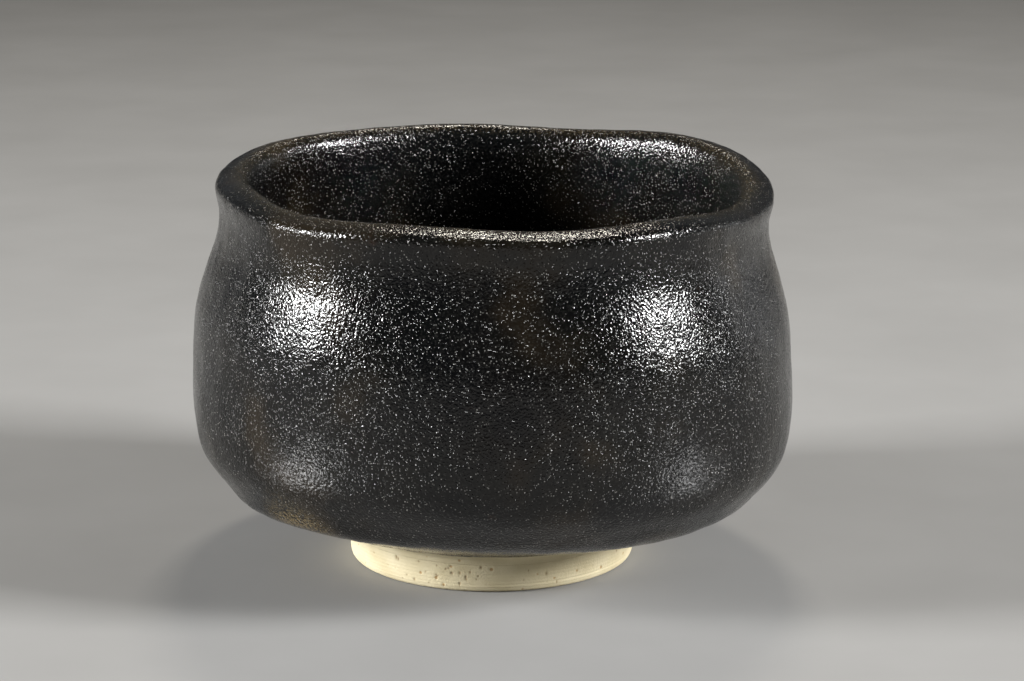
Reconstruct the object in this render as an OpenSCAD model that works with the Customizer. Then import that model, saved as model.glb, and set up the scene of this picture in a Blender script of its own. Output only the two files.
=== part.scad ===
// Matcha bowl (chawan), hand-shaped: a buff clay body on an attached foot ring,
// with a thick black glaze poured inside and out over a thin brown margin.
// The origin is the centre of the foot's resting face, +Z is up, and the -Y side is the front.

/* [Bowl] */
// Widest outside diameter of the glazed bowl
body_d = 125; // [112:1:138]
// Height of the lip's crest above the resting face, on average
height = 80.2; // [76.2:1:87.2]
// Thickness of the clay wall at the widest part
wall_t = 5; // [4:0.2:7]
// Thickness of the clay at the lip
lip_t = 6.6; // [5.6:0.2:7.4]
// Height of the clay floor above the resting face, at the rim of the tea pool
floor_z = 12.4; // [11.4:0.2:14]

/* [Foot] */
// Outside diameter of the foot ring at the bottom
foot_d = 59; // [54:0.5:64]
// Width of the ring, from its inner wall to its outer wall
foot_w = 6.4; // [5:0.2:8]
// Height of the ring, up to where it is joined to the body
foot_h = 6; // [5.4:0.1:7]
// Rounding of the ring's lower edges
foot_edge_r = 1.1; // [0.6:0.1:1.6]

/* [Glaze] */
// Thickness of the black coats
coat_t = 0.6; // [0.5:0.1:1.2]
// Thickness of the brown margin below the outer coat
hem_t = 0.3; // [0.2:0.05:0.4]
// Width of the bare clay strip between the foot ring and the brown margin
bare_w = 2.8; // [2:0.2:4]
// Width of the brown margin
hem_w = 1.8; // [1:0.2:3]

/* [Hand-made shape] */
// How far the bowl is from a true round, as a share of its modelled waves
hand = 1; // [0:0.1:1.4]

/* [Hidden] */

// Facets round the bowl, and steps between two neighbouring points of an outline
facets = 60;
span_steps = 2;

belly_r = body_d / 2 - coat_t;   // the clay's widest radius
crest_z = height - coat_t;       // the clay's highest level
lip_r = belly_r - 4.3;           // the outer radius of the lip
foot_r = foot_d / 2;
foot_flare = 0.4;                // how much the foot widens towards its top
recess_rise = 0.9;               // how far the recess's middle hangs below the joint

// Waves in the wall, each [waves round the bowl, size, angle of one high point]
belly_waves = [[1, 0.2, 100], [2, 1.8, -54], [3, 0.6, -51], [4, 0.5, -22], [5, 0.25, -7]];
lip_waves = [[1, 0.5, 72], [2, 0.8, -64], [3, 0.8, 27], [4, 0.4, 34], [5, 0.95, 13]];
lip_rises = [[1, 1.0, 132], [2, 0.95, 77], [3, 0.6, 40], [4, 0.8, 36],
             [5, 0.25, 35], [6, 0.2, 22], [7, 0.2, -7]];
under_rises = [[1, 2.0, -70], [2, 1.0, 53]];

// Levels between which each set of waves fades in or out
joint_z = foot_h;
under_full_z = 14;
belly_full_z = 22;
under_fade_z = 45;
lip_fade_z = [34, 78];
calm_r = [15, 50];               // the waves die away from the second radius in to the first

// Outline of the clay's outside, from the foot joint up to the crest of the lip.
// It leaves the foot in a hollow fillet, and the brown margin starts where the bare strip ends.
bare_end = [foot_r + 0.5 + bare_w, joint_z + 2.8];
hem_end = bare_end + hem_w * [cos(20), sin(20)];
outside = [
    [foot_r + foot_flare, joint_z],
    [foot_r + foot_flare + 0.3, joint_z + 1.2],
    [foot_r + 1.7, joint_z + 2.2],
    bare_end,
    hem_end,
    [belly_r - 19.3, 11.4],
    [belly_r - 10, 14],
    [belly_r - 5.6, 18.4],
    [belly_r - 1.6, 24.2],
    [belly_r - 0.2, 32],
    [belly_r, 42],
    [belly_r - 0.4, 52],
    [belly_r - 2.3, 60],
    [belly_r - 4.5, 67],
    [belly_r - 5.1, crest_z - 6.6],
    [lip_r, crest_z - 1.7],
    [lip_r - 0.29 * lip_t, crest_z - 0.5],
    [lip_r - 0.67 * lip_t, crest_z],
];
// Outline of the clay's inside, from just past the crest down to the middle of the floor
inside = [
    [lip_r - 0.9 * lip_t, crest_z - 0.9],
    [lip_r - lip_t, crest_z - 3.1],
    [lip_r - lip_t, crest_z - 7.3],
    [belly_r - 4.2 - wall_t, 62],
    [belly_r - 1.8 - wall_t, 51],
    [belly_r - 0.2 - wall_t, 40],
    [belly_r - 1.3 - wall_t, 29],
    [belly_r - 6.5 - wall_t, floor_z + 7.2],
    [belly_r - 16 - wall_t, floor_z + 2],
    [27, floor_z],
    [19, floor_z - 0.9],
    [8, floor_z - 1.2],
    [0, floor_z - 1.2],
];

function total(list) = len(list) == 0 ? 0 : list * [for (item = list) 1];
function wave(waves, angle) = hand * total([for (w = waves) w[1] * cos(w[0] * (angle - w[2]))]);
function ramp(from, to, x) =
    let (t = min(max((x - from) / (to - from), 0), 1)) t * t * (3 - 2 * t);
function backwards(list) = [for (i = [len(list) - 1 : -1 : 0]) list[i]];
function part_of(list, from, to) = [for (i = [from : to]) list[i]];

// A smooth line through the points p, by Catmull-Rom spans
function span_point(a, b, c, d, t) =
    (2 * b + (c - a) * t + (2 * a - 5 * b + 4 * c - d) * t * t
     + (3 * b - a - 3 * c + d) * t * t * t) / 2;
function smooth_line(p) =
    let (last = len(p) - 1)
    [for (i = [0 : last - 1]) for (k = [0 : span_steps - 1])
        span_point(p[max(i - 1, 0)], p[i], p[i + 1], p[min(i + 2, last)], k / span_steps),
     p[last]];

// The line moved sideways by t[i] at each point, to the right of its direction
function moved(line, t) =
    let (last = len(line) - 1)
    [for (i = [0 : last])
        let (along = line[min(i + 1, last)] - line[max(i - 1, 0)])
        line[i] + t[i] * [along[1], -along[0]] / norm(along)];

// Where a point [radius, level] of the outline lies, at an angle round the hand-made bowl
function shaped(point, angle) =
    let (
        r = point[0],
        z = point[1],
        reach = ramp(calm_r[0], calm_r[1], r),
        at_lip = ramp(lip_fade_z[0], lip_fade_z[1], z),
        at_belly = ramp(joint_z, belly_full_z, z) * (1 - at_lip),
        at_under = ramp(joint_z, under_full_z, z) * (1 - ramp(belly_full_z, under_fade_z, z)),
        wavy_r = r + reach * (at_belly * wave(belly_waves, angle) + at_lip * wave(lip_waves, angle)),
        wavy_z = z + reach * (at_lip * wave(lip_rises, angle) + at_under * wave(under_rises, angle))
    )
    [wavy_r * cos(angle), wavy_r * sin(angle), wavy_z];

// Two triangles between rings i and k at facet j; both sides of a shared wall split alike
function facet_pair(path, i, k, j) =
    let (
        n = (j + 1) % facets,
        a = i * facets + j,
        b = i * facets + n,
        c = k * facets + n,
        d = k * facets + j
    )
    path[k][1] > path[i][1] ? [[a, d, c], [a, c, b]] : [[a, d, b], [d, c, b]];

function rings(path) =
    [for (point = path) for (j = [0 : facets - 1]) shaped(point, j * 360 / facets)];

// A closed band round the bowl. Its section is the closed path, anticlockwise in [radius, level].
module turned_band(path) {
    count = len(path);
    polyhedron(
        rings(path),
        [for (i = [0 : count - 1]) for (j = [0 : facets - 1])
            each facet_pair(path, i, (i + 1) % count, j)]);
}

// A closed solid round the axis. Its path starts and ends on the axis, anticlockwise.
module turned_solid(path) {
    last = len(path) - 1;
    body = part_of(path, 1, last - 1);
    bottom = (last - 1) * facets;
    polyhedron(
        concat(rings(body), [[0, 0, path[0][1]], [0, 0, path[last][1]]]),
        concat(
            [for (j = [0 : facets - 1]) [bottom, j, (j + 1) % facets]],
            [for (i = [0 : last - 3]) for (j = [0 : facets - 1]) each facet_pair(body, i, i + 1, j)],
            [for (j = [0 : facets - 1])
                [bottom + 1, (last - 2) * facets + (j + 1) % facets, (last - 2) * facets + j]]));
}

bare_ring = 3 * span_steps;      // where the bare strip ends on the outside line
hem_ring = 4 * span_steps;       // where the brown margin ends
outside_line = smooth_line(outside);
inside_line = smooth_line(concat([outside[len(outside) - 1]], inside));
outside_last = len(outside_line) - 1;
inside_last = len(inside_line) - 1;

// Underside inside the foot, from the axis out to the joint
recess = [
    [0, joint_z - recess_rise],
    [8, joint_z - 0.6 * recess_rise],
    [foot_r - foot_w - 1.5, joint_z - 0.1],
    [foot_r - foot_w - 0.5, joint_z],
];

module clay_body() {
    color("#c8b393")
    turned_solid(concat(recess, outside_line, part_of(inside_line, 1, inside_last)));
}

function arc(centre, radius, from, to) =
    let (steps = 6)
    [for (k = [0 : steps]) let (a = from + (to - from) * k / steps)
        centre + radius * [cos(a), sin(a)]];

module foot_ring() {
    color("#d2bfa2")
    rotate_extrude($fn = 96)
    polygon(concat(
        [[foot_r - foot_w - 0.5, foot_h]],
        arc([foot_r - foot_w + foot_edge_r, foot_edge_r], foot_edge_r, 180, 270),
        arc([foot_r - foot_edge_r, foot_edge_r], foot_edge_r, 270, 360),
        [[foot_r + foot_flare, foot_h]]));
}

// The black coat outside, from the brown margin up over the outer half of the lip
module outer_glaze() {
    wall = part_of(outside_line, hem_ring, outside_last);
    last = len(wall) - 1;
    // the coat swells from the margin's thickness to its own within its first three rings
    thickness = [for (i = [0 : last]) hem_t + (coat_t - hem_t) * ramp(-1, 2, i)];
    color("#14110f")
    turned_band(concat(moved(wall, thickness), backwards(wall)));
}

// The black coat inside, from the middle of the floor up over the inner half of the lip
module inner_glaze() {
    last = inside_last;
    coat = moved(inside_line, [for (i = [0 : last]) coat_t]);
    color("#12100f")
    turned_solid(concat(
        backwards(inside_line),
        part_of(coat, 0, last - 1),
        [[0, coat[last][1]]]));
}

// The thin brown margin where the outer coat ends above the bare clay
module glaze_hem() {
    strip = part_of(outside_line, bare_ring, hem_ring);
    last = len(strip) - 1;
    thickness = [for (i = [0 : last]) hem_t * ramp(-1, last, i)];
    color("#4a3116")
    turned_band(concat(moved(strip, thickness), backwards(strip)));
}

clay_body();
foot_ring();
inner_glaze();
outer_glaze();
glaze_hem();
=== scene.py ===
"""A black-glazed matcha bowl on its bare clay foot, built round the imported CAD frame.

The outlines and waves below are the CAD model's own, in millimetres, sampled much more finely.
Every piece is a grid of rings round the bowl, worked out as a function of ring and angle.
"""

import math

import bpy
import numpy as np
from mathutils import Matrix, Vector


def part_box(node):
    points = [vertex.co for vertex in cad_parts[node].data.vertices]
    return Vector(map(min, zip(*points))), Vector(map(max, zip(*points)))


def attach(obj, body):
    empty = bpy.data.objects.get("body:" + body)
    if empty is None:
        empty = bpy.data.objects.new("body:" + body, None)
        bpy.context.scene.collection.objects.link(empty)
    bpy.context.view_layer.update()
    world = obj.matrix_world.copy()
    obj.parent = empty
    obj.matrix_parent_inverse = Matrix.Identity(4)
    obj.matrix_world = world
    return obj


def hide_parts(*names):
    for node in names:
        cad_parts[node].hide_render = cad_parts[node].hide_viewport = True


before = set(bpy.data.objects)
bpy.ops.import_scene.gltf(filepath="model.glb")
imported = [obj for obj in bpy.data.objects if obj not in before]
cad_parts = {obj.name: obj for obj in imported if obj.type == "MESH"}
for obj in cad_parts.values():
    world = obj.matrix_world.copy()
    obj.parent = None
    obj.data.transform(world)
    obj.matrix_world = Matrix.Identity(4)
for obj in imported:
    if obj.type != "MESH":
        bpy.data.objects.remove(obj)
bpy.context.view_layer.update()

MM = 0.001

# ---- sizes, in millimetres ---------------------------------------------------------------

BODY_D = 125.0
HEIGHT = 80.2
WALL_T = 5.0
LIP_T = 6.6
FLOOR_Z = 12.4
FOOT_R = 29.5
FOOT_W = 6.4
FOOT_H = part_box("foot_ring")[1].z / MM
FOOT_EDGE_R = 1.1
FOOT_FLARE = 0.4
COAT_T = 0.6
HEM_T = 0.3
BARE_W = 2.8
HEM_W = 1.8
RECESS_RISE = 0.9

BELLY_R = BODY_D / 2 - COAT_T
CREST_Z = HEIGHT - COAT_T
LIP_R = BELLY_R - 4.3

# Waves in the wall: (waves round the bowl, size, angle of one high point in degrees)
BELLY_WAVES = [(1, 0.2, 100), (2, 1.8, -54), (3, 0.6, -51), (4, 0.5, -22), (5, 0.25, -7)]
LIP_WAVES = [(1, 0.5, 72), (2, 0.8, -64), (3, 0.8, 27), (4, 0.4, 34), (5, 0.95, 13)]
LIP_RISES = [(1, 1.0, 132), (2, 0.95, 77), (3, 0.6, 40), (4, 0.8, 36),
             (5, 0.25, 35), (6, 0.2, 22), (7, 0.2, -7)]
UNDER_RISES = [(1, 2.0, -70), (2, 1.0, 53)]
UNDER_FULL_Z = 14
BELLY_FULL_Z = 22
UNDER_FADE_Z = 45
LIP_FADE_Z = (34, 78)
CALM_R = (15, 50)
INSET = 0.15                     # room for the relief below the CAD's own surface

# Outline of the clay, as (radius, level): the outside from the foot joint up to the crest
BARE_END = (FOOT_R + 0.5 + BARE_W, FOOT_H + 2.8)
HEM_END = (BARE_END[0] + HEM_W * math.cos(math.radians(20)),
           BARE_END[1] + HEM_W * math.sin(math.radians(20)))
OUTSIDE = [
    (FOOT_R + FOOT_FLARE, FOOT_H),
    (FOOT_R + FOOT_FLARE + 0.3, FOOT_H + 1.2),
    (FOOT_R + 1.7, FOOT_H + 2.2),
    BARE_END,
    HEM_END,
    (BELLY_R - 19.3, 11.4),
    (BELLY_R - 10, 14),
    (BELLY_R - 5.6, 18.4),
    (BELLY_R - 1.6, 24.2),
    (BELLY_R - 0.2, 32),
    (BELLY_R, 42),
    (BELLY_R - 0.4, 52),
    (BELLY_R - 2.3, 60),
    (BELLY_R - 4.5, 67),
    (BELLY_R - 5.1, CREST_Z - 6.6),
    (LIP_R, CREST_Z - 1.7),
    (LIP_R - 0.29 * LIP_T, CREST_Z - 0.5),
    (LIP_R - 0.67 * LIP_T, CREST_Z),
]
# and the inside from just past the crest to the middle of the floor
INSIDE = [
    (LIP_R - 0.9 * LIP_T, CREST_Z - 0.9),
    (LIP_R - LIP_T, CREST_Z - 3.1),
    (LIP_R - LIP_T, CREST_Z - 7.3),
    (BELLY_R - 4.2 - WALL_T, 62),
    (BELLY_R - 1.8 - WALL_T, 51),
    (BELLY_R - 0.2 - WALL_T, 40),
    (BELLY_R - 1.3 - WALL_T, 29),
    (BELLY_R - 6.5 - WALL_T, FLOOR_Z + 7.2),
    (BELLY_R - 16 - WALL_T, FLOOR_Z + 2),
    (27, FLOOR_Z),
    (19, FLOOR_Z - 0.9),
    (8, FLOOR_Z - 1.2),
    (0, FLOOR_Z - 1.2),
]
HEM_POINT = 4                    # where the brown margin ends, as a place in OUTSIDE
CREST_POINT = len(OUTSIDE) - 1

SEGMENTS = 460                   # columns round a coat or the body
FOOT_SEGMENTS = 900              # columns round the foot ring
BACK_RINGS = 40                  # rings on the hidden side of a coat

# Where the black coat stops short of its usual edge and leaves more brown:
# (angle in degrees, spread in degrees, extra width)
EDGE_RISES = [(-143, 24, 6.0), (-40, 22, 6.5), (40, 30, 2.2), (140, 26, 3.0)]
# Where the black runs thin and brown above its edge; the wide zones are partly a painted warm
# reflection: (angle, spread, width of the zone)
THIN_AND_SHEEN_ZONES = [(-136, 18, 27), (-55, 16, 20), (100, 30, 14)]
EDGE_ROLL = 0.22                 # how far the coat swells in a roll just above its edge
ROLL_AT = 1.3                    # how far above the edge the roll is thickest

# Unevenness of the black surface: (height, shortest and longest feature, seed, waves summed)
COAT_RELIEF = [(0.030, 5, 10, 11, 48), (0.008, 2.4, 4.0, 12, 64), (0.06, 20, 42, 13, 48)]
RIDGE_HEIGHT = 0.016             # of the ridges that the fingers left
RIDGE_PITCHES = (3.3, 5.1)       # of the two sets of ridges

# The foot's outer wall: open pits, a groove and the fine lines of turning
PIT_COUNT = 56
PIT_LEVELS = (1.2, 5.6)          # range of the pits' levels
PIT_SIZES = (0.10, 0.24)         # range of the pits' half widths
PIT_DEPTH = 0.7                  # as a share of the half width
GROOVE_Z = 1.7
GROOVE_DEPTH = 0.08
TURNING_PITCH = 0.75
TURNING_DEPTH = 0.016
TRIM_PITCH = 3.4                 # of the spiral that trimming left inside the foot
TRIM_DEPTH = 0.10


# ---- small maths -------------------------------------------------------------------------

def ramp(start, end, x):
    """0 before start, 1 after end, and smooth between them."""
    t = np.clip((x - start) / (end - start), 0, 1)
    return t * t * (3 - 2 * t)


def wave(waves, angle):
    """The sum of the waves at an angle in radians."""
    return sum(size * np.cos(count * (angle - math.radians(at))) for count, size, at in waves)


def field(points, shortest, longest, seed, count=48):
    """A smooth random field of unit size over points (..., 3): many waves in random directions."""
    rng = np.random.default_rng(seed)
    total = np.zeros(points.shape[:-1])
    for _ in range(count):
        direction = rng.normal(size=3)
        direction *= 2 * math.pi / (np.linalg.norm(direction) * rng.uniform(shortest, longest))
        total += np.cos(points @ direction + rng.uniform(0, 2 * math.pi))
    return total * math.sqrt(2 / count)


class Line:
    """A smooth line through outline points, with the arc length s as its place."""

    def __init__(self, points, fine=40):
        p = np.array([2 * np.array(points[0]) - points[1], *points,
                      2 * np.array(points[-1]) - points[-2]], float)
        t = np.linspace(0, 1, fine, endpoint=False)[:, None]
        spans = [
            (2 * b + (c - a) * t + (2 * a - 5 * b + 4 * c - d) * t ** 2
             + (3 * b - a - 3 * c + d) * t ** 3) / 2
            for a, b, c, d in zip(p, p[1:], p[2:], p[3:])
        ]
        self.at = np.concatenate([*spans, p[-2][None]])
        steps = np.linalg.norm(np.diff(self.at, axis=0), axis=1)
        self.s = np.concatenate([[0], np.cumsum(steps)])
        self.knots = self.s[::fine]
        along = np.gradient(self.at, axis=0)
        along /= np.linalg.norm(along, axis=1, keepdims=True)
        self.out = np.stack([along[:, 1], -along[:, 0]], axis=1)

    def points(self, s):
        """(radius, level) at the arc lengths s, an array of any shape."""
        return np.stack([np.interp(s, self.s, self.at[:, k]) for k in (0, 1)], axis=-1)

    def offset(self, s, thickness):
        """The same, moved outwards by thickness."""
        out = np.stack([np.interp(s, self.s, self.out[:, k]) for k in (0, 1)], axis=-1)
        out /= np.linalg.norm(out, axis=-1, keepdims=True)
        return self.points(s) + np.asarray(thickness)[..., None] * out


CLAY = Line(OUTSIDE + INSIDE)
S_HEM = CLAY.knots[HEM_POINT]
S_CREST = CLAY.knots[CREST_POINT]
S_FLOOR = CLAY.s[-1]


def angles(columns=SEGMENTS):
    return np.linspace(0, 2 * math.pi, columns, endpoint=False)


def circle_points():
    """A point for each column on a 10 mm circle, as the place where an edge's wobble is read."""
    angle = angles()
    return 10 * np.stack([np.cos(angle), np.sin(angle), 0 * angle], axis=-1)


def hump(angle, at, spread_angle):
    """1 at the angle `at` in degrees, falling off smoothly on both sides round the circle."""
    away = (np.degrees(angle) - at + 180) % 360 - 180
    return np.exp(-(away / spread_angle) ** 2)


def shaped(outline):
    """Points (rings, columns, 3) of the hand-made bowl from (radius, level) at every column."""
    r, z = outline[..., 0], outline[..., 1]
    angle = np.broadcast_to(angles(r.shape[1]), r.shape)
    reach = ramp(*CALM_R, r)
    at_lip = ramp(*LIP_FADE_Z, z)
    at_belly = ramp(FOOT_H, BELLY_FULL_Z, z) * (1 - at_lip)
    at_under = ramp(FOOT_H, UNDER_FULL_Z, z) * (1 - ramp(BELLY_FULL_Z, UNDER_FADE_Z, z))
    wavy_r = r + reach * (at_belly * wave(BELLY_WAVES, angle) + at_lip * wave(LIP_WAVES, angle))
    wavy_z = z + reach * (at_lip * wave(LIP_RISES, angle) + at_under * wave(UNDER_RISES, angle))
    return np.stack([wavy_r * np.cos(angle), wavy_r * np.sin(angle), wavy_z], axis=-1)


def stations(*stretches):
    """Arc lengths from (end, number of rings) stretches; the first entry is the start."""
    places = [np.array([stretches[0]])]
    for end, count in stretches[1:]:
        places.append(np.linspace(places[-1][-1], end, count + 1)[1:])
    return np.concatenate(places)


def spread(values):
    """One value a ring, repeated at every column."""
    return np.repeat(np.asarray(values, float)[:, None], SEGMENTS, axis=1)


def outward(grid):
    """Unit normals of an open grid of rings, away from the clay."""
    along = np.gradient(grid, axis=0)
    around = np.roll(grid, -1, axis=1) - np.roll(grid, 1, axis=1)
    normal = np.cross(around, along)
    length = np.linalg.norm(normal, axis=-1, keepdims=True)
    return normal / np.maximum(length, 1e-9)


# ---- meshes ------------------------------------------------------------------------------

def ring_piece(name, rings, material, closed, attributes=None, normals=None):
    """A mesh from rings (n, columns, 3). closed joins the last ring to the first;
    otherwise the first and last ring lie on the axis and become single points.
    normals, if given, are shading normals; a zero one is left to Blender."""
    count, columns = rings.shape[:2]
    index = np.arange(count * columns).reshape(count, columns)
    lower, upper = (index, np.roll(index, -1, axis=0)) if closed else (index[1:-2], index[2:-1])
    quads = np.stack([lower, np.roll(lower, -1, axis=1), np.roll(upper, -1, axis=1), upper], -1)
    faces = quads.reshape(-1, 4).tolist()
    points = rings.reshape(-1, 3)
    if not closed:
        # drop the two rings on the axis and close each end with a fan round one point
        points = np.concatenate([points[columns:-columns], rings[:1, 0], rings[-1:, 0]])
        faces = (quads.reshape(-1, 4) - columns).tolist()
        first, last = len(points) - 2, len(points) - 1
        top = (count - 3) * columns
        for j in range(columns):
            n = (j + 1) % columns
            faces.append([first, n, j])
            faces.append([last, top + j, top + n])
    mesh = bpy.data.meshes.new(name)
    mesh.from_pydata((points * MM).tolist(), [], faces)
    mesh.shade_smooth()
    for key, values in (attributes or {}).items():
        flat = np.asarray(values, np.float32).reshape(-1)
        if not closed:
            flat = np.concatenate([flat[columns:-columns], flat[:1], flat[-1:]])
        mesh.attributes.new(key, "FLOAT", "POINT").data.foreach_set("value", flat)
    if normals is not None:
        flat = normals.reshape(-1, 3)
        if not closed:
            flat = np.concatenate([flat[columns:-columns], np.zeros((2, 3))])
        mesh.normals_split_custom_set_from_vertices(flat.tolist())
    mesh.materials.append(material)
    piece = bpy.data.objects.new(name, mesh)
    bpy.context.scene.collection.objects.link(piece)
    return piece


# ---- the coats ---------------------------------------------------------------------------

def glaze_edge():
    """Arc length of the black coat's lower edge at each column: it wanders by some millimetres."""
    circle = circle_points()
    rise = sum(size * hump(angles(), at, wide) for at, wide, size in EDGE_RISES)
    return (S_HEM - 0.7 + rise + 0.3 * field(circle, 9, 22, seed=5)
            + 0.12 * field(circle, 1.5, 3, seed=6))


def black_coat():
    """The black surface as one grid, from its lower edge over the lip to the floor."""
    edge = glaze_edge()
    u = stations(0, (0.05, 22), (0.82, 104), (1, 44))    # share of the way up the outside
    outer = edge + u[:, None] * (S_CREST - edge)
    inner = spread(stations(S_CREST, (S_CREST + 14, 44), (S_FLOOR - 8, 104), (S_FLOOR, 12)))
    s = np.concatenate([outer, inner[1:]])
    above_edge = s - edge
    thickness = (HEM_T + (COAT_T - INSET - HEM_T) * ramp(-1, 2.5, above_edge)
                 + EDGE_ROLL * np.exp(-((above_edge - ROLL_AT) / 0.9) ** 2))
    grid = shaped(CLAY.offset(s, thickness))
    normal = outward(grid)
    relief = sum(height * field(grid, shortest, longest, seed, count)
                 for height, shortest, longest, seed, count in COAT_RELIEF)
    relief += throwing_rings(grid)
    calm = ramp(0, 6, np.linalg.norm(grid[..., :2], axis=-1))
    grid = grid + normal * (calm * relief)[..., None]
    # how brown the coat shows: most just above its edge, where it is thin glaze and partly a
    # painted warm reflection, and a trace of thin glaze along the crest
    thin_width = 1.6 + sum(size * hump(angles(), at, wide) for at, wide, size in THIN_AND_SHEEN_ZONES)
    thin = 0.9 * (1 - ramp(0, 1, above_edge / thin_width))
    thin += 0.08 * np.exp(-((s - S_CREST) / 1.6) ** 2)
    return grid, s, thin, len(u)


def throwing_rings(grid):
    """Faint ridges left by the fingers, strongest round the neck and below the shoulder."""
    z = grid[..., 2]
    angle = np.arctan2(grid[..., 1], grid[..., 0])
    drift = 0.8 * np.sin(angle + 1.0) + 0.4 * np.sin(2 * angle)
    fine, coarse = RIDGE_PITCHES
    ridges = np.cos(2 * math.pi * (z + drift) / fine)
    ridges += 0.6 * np.cos(2 * math.pi * (z - drift) / coarse)
    strength = 0.5 + 0.5 * field(grid, 25, 50, seed=14, count=24).clip(-1, 1)
    height = np.exp(-((z - 68) / 6) ** 2) + 0.4 * np.exp(-((z - 40) / 16) ** 2)
    return RIDGE_HEIGHT * ridges * strength * height


def back_wall(s):
    """The clay surface behind a coat, from the last arc length back to the first."""
    share = np.linspace(0, 1, BACK_RINGS)[:, None]
    return shaped(CLAY.points(s[0] + share * (s[-1] - s[0])))[::-1]


def build_coats(material):
    """The outer and inner coats: they meet at the crest and shade there as one surface."""
    grid, s, thin, split = black_coat()
    normal = outward(grid)
    no_normal = np.zeros((BACK_RINGS, SEGMENTS, 3))
    not_thin = np.zeros((BACK_RINGS, SEGMENTS))
    outer_back = back_wall(s[:split])
    outer = ring_piece(
        "outer_glaze_coat", np.concatenate([grid[:split], outer_back]), material, closed=True,
        attributes={"thin": np.concatenate([thin[:split], not_thin])},
        normals=np.concatenate([normal[:split], no_normal]))
    inner_back = back_wall(s[split - 1:])
    inner = ring_piece(
        "inner_glaze_coat", np.concatenate([inner_back, grid[split - 1:]]), material, closed=False,
        attributes={"thin": np.concatenate([not_thin, thin[split - 1:]])},
        normals=np.concatenate([no_normal, normal[split - 1:]]))
    return outer, inner


def build_hem(material):
    """The thin brown margin, from the bare clay up to the black coat's edge."""
    edge = glaze_edge()
    circle = circle_points()
    # the margin's own lower edge wanders too, at least 0.3 mm below the black coat's
    low = (S_HEM - 1.5 + 0.35 * field(circle, 6, 16, seed=8)
           + 0.12 * field(circle, 1, 2, seed=9))
    low = np.minimum(low, edge - 0.3)
    share = np.linspace(0, 1, 16)[:, None]
    s = low + share * (edge - low)
    thickness = HEM_T * (0.12 + 0.88 * share ** 0.6) + 0 * s
    face = shaped(CLAY.offset(s, thickness))
    back = shaped(CLAY.points(s))[::-1]
    blend = np.concatenate([share + 0 * s, (share + 0 * s)[::-1]])
    return ring_piece("brown_glaze_margin", np.concatenate([face, back]), material, closed=True,
                      attributes={"blend": blend})


# ---- the clay ----------------------------------------------------------------------------

def build_clay(material):
    """The whole clay body: recess under the foot, outside, lip, inside and floor."""
    recess = Line([(0, FOOT_H - RECESS_RISE), (8, FOOT_H - 0.6 * RECESS_RISE),
                   (FOOT_R - FOOT_W - 1.5, FOOT_H - 0.1), (FOOT_R - FOOT_W - 0.5, FOOT_H)])
    under = recess.points(spread(np.linspace(0, recess.s[-1], 70)))
    carved = TRIM_DEPTH * np.cos(2 * math.pi * under[..., 0] / TRIM_PITCH - angles())
    carved *= ramp(1, 4, under[..., 0]) * (1 - ramp(19, 22, under[..., 0]))
    under[..., 1] += carved
    s = spread(stations(0, (S_HEM + 1, 34), (S_CREST, 44), (S_FLOOR, 44)))
    return ring_piece("clay_bowl_body", np.concatenate([shaped(under), shaped(CLAY.points(s))]),
                      material, closed=False)


def foot_marks(z, angle):
    """How deep the foot's outer wall is cut back at a level and angle, and how dark it is there."""
    groove = GROOVE_DEPTH * np.exp(-((z - GROOVE_Z) / 0.16) ** 2) * hump(angle, -50, 34)
    turned = 1 + np.cos(2 * math.pi * (z + 0.15 * np.sin(angle)) / TURNING_PITCH)
    depth = groove + TURNING_DEPTH * turned
    dark = np.zeros_like(z)
    rng = np.random.default_rng(31)
    for k in range(PIT_COUNT):
        # two pits in three are strewn all round; the rest gather at the front
        at = rng.uniform(-180, 180) if k % 3 else rng.normal(-115, 18)
        level = rng.uniform(*PIT_LEVELS)
        size = rng.uniform(*PIT_SIZES)
        tall = size * rng.uniform(1.0, 2.4)
        across = (np.degrees(angle) - at + 180) % 360 - 180
        pit = np.exp(-(np.radians(across) * FOOT_R / size) ** 2 - ((z - level) / tall) ** 2)
        depth += PIT_DEPTH * size * pit
        dark = np.maximum(dark, pit)
    return depth, dark


def build_foot(material):
    """The foot ring: a band with rounded lower edges, turning lines and open pits."""
    inner_r = FOOT_R - FOOT_W
    turn = np.radians(np.linspace(0, 90, 8))
    corner = FOOT_EDGE_R
    inner_wall = [(inner_r - 0.5 * z / FOOT_H, z) for z in np.linspace(FOOT_H, corner, 10)]
    inner_edge = [(inner_r + corner - corner * math.cos(a), corner - corner * math.sin(a))
                  for a in turn[1:]]
    rest = [(r, 0) for r in np.linspace(inner_r + corner, FOOT_R - corner, 6)[1:-1]]
    outer_edge = [(FOOT_R - corner + corner * math.sin(a), corner - corner * math.cos(a))
                  for a in turn]
    outer_wall = [(FOOT_R + FOOT_FLARE * z / FOOT_H, z) for z in np.linspace(corner, FOOT_H, 44)]
    outline = np.array(inner_wall + inner_edge + rest + outer_edge + outer_wall[1:])
    section = np.repeat(outline[:, None], FOOT_SEGMENTS, axis=1)
    z = section[..., 1]
    outside = (section[..., 0] > FOOT_R - corner) * ramp(0.3, 1.2, z)
    depth, dark = foot_marks(z, angles(FOOT_SEGMENTS))
    section[..., 0] -= outside * depth
    return ring_piece("foot_ring_clay", shaped(section), material, closed=True,
                      attributes={"dark": outside * dark})


# ---- materials ---------------------------------------------------------------------------

def add(tree, kind, inputs=None, **settings):
    """A node with its settings, and its inputs as values or as sockets to link from."""
    node = tree.nodes.new(kind)
    for key, value in settings.items():
        setattr(node, key, value)
    for key, value in (inputs or {}).items():
        if isinstance(value, bpy.types.NodeSocket):
            tree.links.new(value, node.inputs[key])
        else:
            node.inputs[key].default_value = value
    return node


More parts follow.
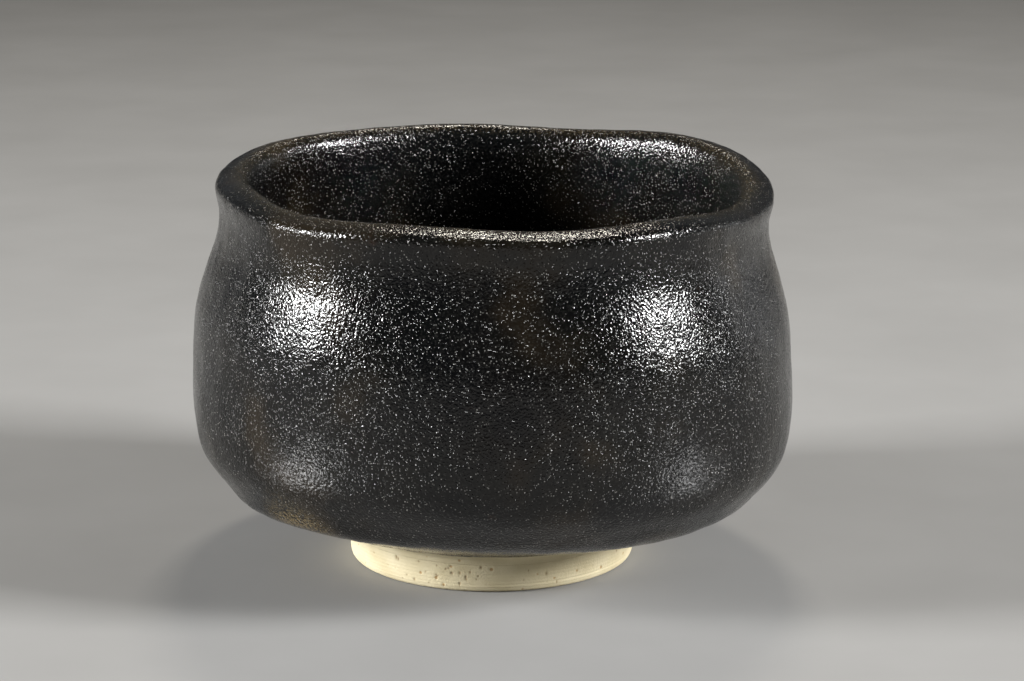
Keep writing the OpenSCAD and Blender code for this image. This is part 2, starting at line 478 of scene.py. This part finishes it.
def new_material(name, **constants):
    """A material, its node tree and its Principled shader, with the constants set on it."""
    material = bpy.data.materials.new(name)
    material.use_nodes = True
    tree = material.node_tree
    shader = tree.nodes["Principled BSDF"]
    for key, value in constants.items():
        shader.inputs[key.replace("_", " ")].default_value = value
    return material, tree, shader


def noise(tree, position, size, detail=2.0):
    """Noise with features about size metres across, as a socket from 0 to 1."""
    node = add(tree, "ShaderNodeTexNoise",
               {"Vector": position, "Scale": 1 / size, "Detail": detail})
    return node.outputs["Fac"]


def math_node(tree, operation, *values):
    return add(tree, "ShaderNodeMath", dict(enumerate(values)), operation=operation).outputs[0]


def ramp_node(tree, value, *stops):
    """A colour ramp from (place, colour) stops."""
    node = add(tree, "ShaderNodeValToRGB", {"Fac": value})
    elements = node.color_ramp.elements
    elements[0].position, elements[0].color = stops[0][0], (*stops[0][1], 1)
    elements[1].position, elements[1].color = stops[-1][0], (*stops[-1][1], 1)
    for place, colour in stops[1:-1]:
        elements.new(place).color = (*colour, 1)
    return node.outputs["Color"]


def mix(tree, factor, a, b):
    node = add(tree, "ShaderNodeMix", {0: factor}, data_type="RGBA")
    for key, value in ((6, a), (7, b)):
        if isinstance(value, bpy.types.NodeSocket):
            tree.links.new(value, node.inputs[key])
        else:
            node.inputs[key].default_value = (*value, 1)
    return node.outputs[2]


def map_range(tree, value, low, high, to_low=0.0, to_high=1.0):
    node = add(tree, "ShaderNodeMapRange", {0: value, 1: low, 2: high, 3: to_low, 4: to_high},
               interpolation_type="SMOOTHSTEP")
    return node.outputs[0]


def attribute(tree, name):
    return add(tree, "ShaderNodeAttribute", attribute_name=name).outputs["Fac"]


def cells(tree, position, size, channel=0):
    """Cells about size across: the distance from each one's middle, and its own random number."""
    cell = add(tree, "ShaderNodeTexVoronoi", {"Vector": position, "Scale": 1 / size})
    chance = add(tree, "ShaderNodeSeparateColor", {0: cell.outputs["Color"]}).outputs[channel]
    return cell.outputs["Distance"], chance


def pits(tree, position, size, rarest):
    """Pinholes in the cells whose random number is over rarest: 1 at the middle, 0 outside."""
    distance, chance = cells(tree, position, size)
    depth = map_range(tree, chance, rarest, 1.0)
    hole = map_range(tree, distance, 0.42, 0.0)
    return math_node(tree, "MULTIPLY", hole, depth)


def dimples(tree, position, size, depth):
    """A dimple in every cell, of uneven depth: depth at the middle of the deepest, 0 outside."""
    distance, chance = cells(tree, position, size)
    share = math_node(tree, "MULTIPLY_ADD", chance, 0.65, 0.35)
    hole = map_range(tree, distance, 0.36, 0.0)
    return math_node(tree, "MULTIPLY", math_node(tree, "MULTIPLY", hole, share), depth)


def painted_glints(tree, position, size):
    """Painted glints: fine pale specks in the colour, in patches, standing in for the glaze's
    sparkle: 1 at a speck's middle, 0 between them.
    """
    distance, chance = cells(tree, position, size, channel=1)
    bright = map_range(tree, chance, 0.30, 1.05)
    spot = map_range(tree, distance, 0.33, 0.08)
    crowd = map_range(tree, noise(tree, position, 0.012), 0.3, 0.7, 0.6, 1.0)
    return math_node(tree, "MULTIPLY", math_node(tree, "MULTIPLY", spot, bright), crowd)


def bump(tree, shader, height, depth):
    """Relief in the shader's normal, depth metres for each unit of height."""
    node = add(tree, "ShaderNodeBump", {"Height": height, "Distance": depth})
    tree.links.new(node.outputs["Normal"], shader.inputs["Normal"])


def black_glaze():
    material, tree, shader = new_material("black_glaze", IOR=1.45)
    position = add(tree, "ShaderNodeTexCoord").outputs["Object"]
    # black, with brownish clouds, rust spots and a faint pale grain
    tone = noise(tree, position, 0.022, detail=3)
    base = ramp_node(tree, tone, (0.40, (0.0008, 0.0008, 0.0010)),
                     (0.54, (0.0020, 0.0016, 0.0012)), (0.68, (0.011, 0.0075, 0.0038)))
    rust = map_range(tree, noise(tree, position, 0.008, detail=3), 0.70, 0.85)
    base = mix(tree, rust, base, (0.030, 0.013, 0.006))
    speckle = noise(tree, position, 0.0005)
    grain = map_range(tree, speckle, 0.48, 0.68)
    base = mix(tree, math_node(tree, "MULTIPLY", grain, 0.035), base, (0.16, 0.155, 0.14))
    # speckled brown where the coat is thin, which low on the wall is partly a painted warm
    # reflection
    brown = map_range(tree, speckle, 0.40, 0.62)
    brown = math_node(tree, "MULTIPLY", brown, attribute(tree, "thin"))
    base = mix(tree, brown, base, (0.36, 0.27, 0.13))
    # painted glints: pale specks in the base colour stand in for light glinting off the glaze's
    # relief, and are made rougher so the lamps spread over them
    painted_glint_specks = painted_glints(tree, position, 0.00058)
    base = mix(tree, painted_glint_specks, base, (0.22, 0.215, 0.20))
    tree.links.new(base, shader.inputs["Base Color"])
    gloss = map_range(tree, noise(tree, position, 0.004), 0.3, 0.7, 0.08, 0.14)
    gloss = math_node(tree, "MULTIPLY_ADD", painted_glint_specks, 0.25, gloss)
    tree.links.new(gloss, shader.inputs["Roughness"])
    # orange peel with two sizes of dimple in it
    height = noise(tree, position, 0.0005, detail=0.8)
    for size, depth in ((0.00078, 1.15), (0.00060, 0.75)):
        height = math_node(tree, "SUBTRACT", height, dimples(tree, position, size, depth))
    bump(tree, shader, height, 0.00016)
    return material


def brown_glaze():
    material, tree, shader = new_material("brown_glaze", Roughness=0.4)
    position = add(tree, "ShaderNodeTexCoord").outputs["Object"]
    speckle = noise(tree, position, 0.0005)
    base = ramp_node(tree, speckle, (0.35, (0.20, 0.14, 0.07)), (0.65, (0.42, 0.33, 0.19)))
    # black specks crowd together towards the black coat
    crowded = math_node(tree, "ADD", speckle, attribute(tree, "blend"))
    dark = map_range(tree, crowded, 0.80, 1.35)
    tree.links.new(mix(tree, dark, base, (0.014, 0.010, 0.007)), shader.inputs["Base Color"])
    bump(tree, shader, speckle, 0.00015)
    return material


def bare_clay():
    material, tree, shader = new_material("bare_clay", Roughness=0.85)
    position = add(tree, "ShaderNodeTexCoord").outputs["Object"]
    tone = noise(tree, position, 0.006, detail=4)
    base = ramp_node(tree, tone, (0.3, (0.50, 0.43, 0.265)), (0.7, (0.61, 0.54, 0.365)))
    specks = pits(tree, position, 0.0016, rarest=0.55)
    base = mix(tree, map_range(tree, specks, 0.25, 0.7), base, (0.36, 0.24, 0.11))
    base = mix(tree, attribute(tree, "dark"), base, (0.22, 0.15, 0.07))
    tree.links.new(base, shader.inputs["Base Color"])
    grain = noise(tree, position, 0.0004, detail=3)
    height = math_node(tree, "MULTIPLY_ADD", specks, -1.0, grain)
    bump(tree, shader, height, 0.00010)
    return material


# ---- stage -------------------------------------------------------------------------------

def build_floor():
    bpy.ops.mesh.primitive_plane_add(size=4.4)
    floor = bpy.context.object
    floor.name = "studio_floor"
    material, tree, shader = new_material("pale_floor", Roughness=1.0, Specular_IOR_Level=0.0)
    position = add(tree, "ShaderNodeTexCoord").outputs["Object"]
    base = ramp_node(tree, noise(tree, position, 0.05, detail=4),
                     (0.3, (0.250, 0.247, 0.240)), (0.7, (0.270, 0.267, 0.260)))
    tree.links.new(base, shader.inputs["Base Color"])
    floor.data.materials.append(material)


def area_light(name, aim, azimuth, elevation, distance, size, power, cone=180, colour=(1, 1, 1)):
    """A soft light in a direction from the point aim, shining in a cone; azimuth 0 is the
    camera's side. All angles are in degrees, lengths in metres and power in watts."""
    a, e = math.radians(azimuth), math.radians(elevation)
    way = Vector((math.sin(a) * math.cos(e), -math.cos(a) * math.cos(e), math.sin(e)))
    data = bpy.data.lights.new(name, "AREA")
    data.shape = "RECTANGLE"
    data.size, data.size_y = size
    data.energy = power
    data.color = colour
    data.spread = math.radians(cone)
    light = bpy.data.objects.new(name, data)
    light.location = Vector(aim) + way * distance
    light.rotation_euler = way.to_track_quat("Z", "Y").to_euler()
    light.visible_camera = False
    bpy.context.scene.collection.objects.link(light)


def build_lights():
    scene = bpy.context.scene
    world = bpy.data.worlds.new("studio")
    world.use_nodes = True
    background = world.node_tree.nodes["Background"]
    background.inputs["Color"].default_value = (0.9, 0.95, 1, 1)
    background.inputs["Strength"].default_value = 0.08
    scene.world = world
    scene.view_settings.view_transform = "Standard"
    # the key lights make the two highlights on the shoulders, and the top light the lip's
    key_size, low_size = (0.5, 0.5), (0.014, 0.014)
    area_light("key_left", (-0.035, -0.045, 0.061), -80, 16.5, 1.8, key_size, 8.8, cone=60)
    area_light("key_right", (0.034, -0.049, 0.062), 74, 23, 1.8, key_size, 8.8, cone=60)
    area_light("top", (0, 0, 0.08), 176, 55, 1.2, (0.2, 0.2), 5.2, colour=(1, 0.93, 0.82))
    # small lights beside the bowl, just above the floor, seen in the lower wall
    area_light("low_left", (-0.035, -0.045, 0.027), -84, -25, 0.045, low_size, 0.0007, cone=60)
    area_light("low_right", (0.037, -0.046, 0.027), 73, -22, 0.045, low_size, 0.00055, cone=60)
    # dim panels behind, seen in the flanks
    area_light("panel_right", (0.052, -0.02, 0.06), 128, 2, 0.8, (0.26, 0.5), 0.36)
    area_light("panel_left", (-0.052, -0.02, 0.06), -131, 0, 0.8, (0.20, 0.4), 0.07)


def build_camera():
    """In front of the bowl and a little above it, looking down by 14 degrees."""
    data = bpy.data.cameras.new("camera")
    data.sensor_width = 36
    data.lens = 115.3
    camera = bpy.data.objects.new("camera", data)
    camera.location = (0, -0.660, 0.211)
    look_down, turn_right = 14.1, 0.37
    camera.rotation_euler = (math.radians(90 - look_down), 0, math.radians(-turn_right))
    bpy.context.scene.collection.objects.link(camera)
    bpy.context.scene.camera = camera


# ---- assembly ----------------------------------------------------------------------------

def place(piece, node, slot):
    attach(piece, "root")
    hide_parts(node)


build_camera()
glaze = black_glaze()
clay = bare_clay()
outer_coat, inner_coat = build_coats(glaze)
place(outer_coat, "outer_glaze", "black_glaze")
place(inner_coat, "inner_glaze", "black_glaze")
place(build_hem(brown_glaze()), "glaze_hem", "brown_glaze")
place(build_clay(clay), "clay_body", "bare_clay")
place(build_foot(clay), "foot_ring", "bare_clay")
build_floor()
build_lights()
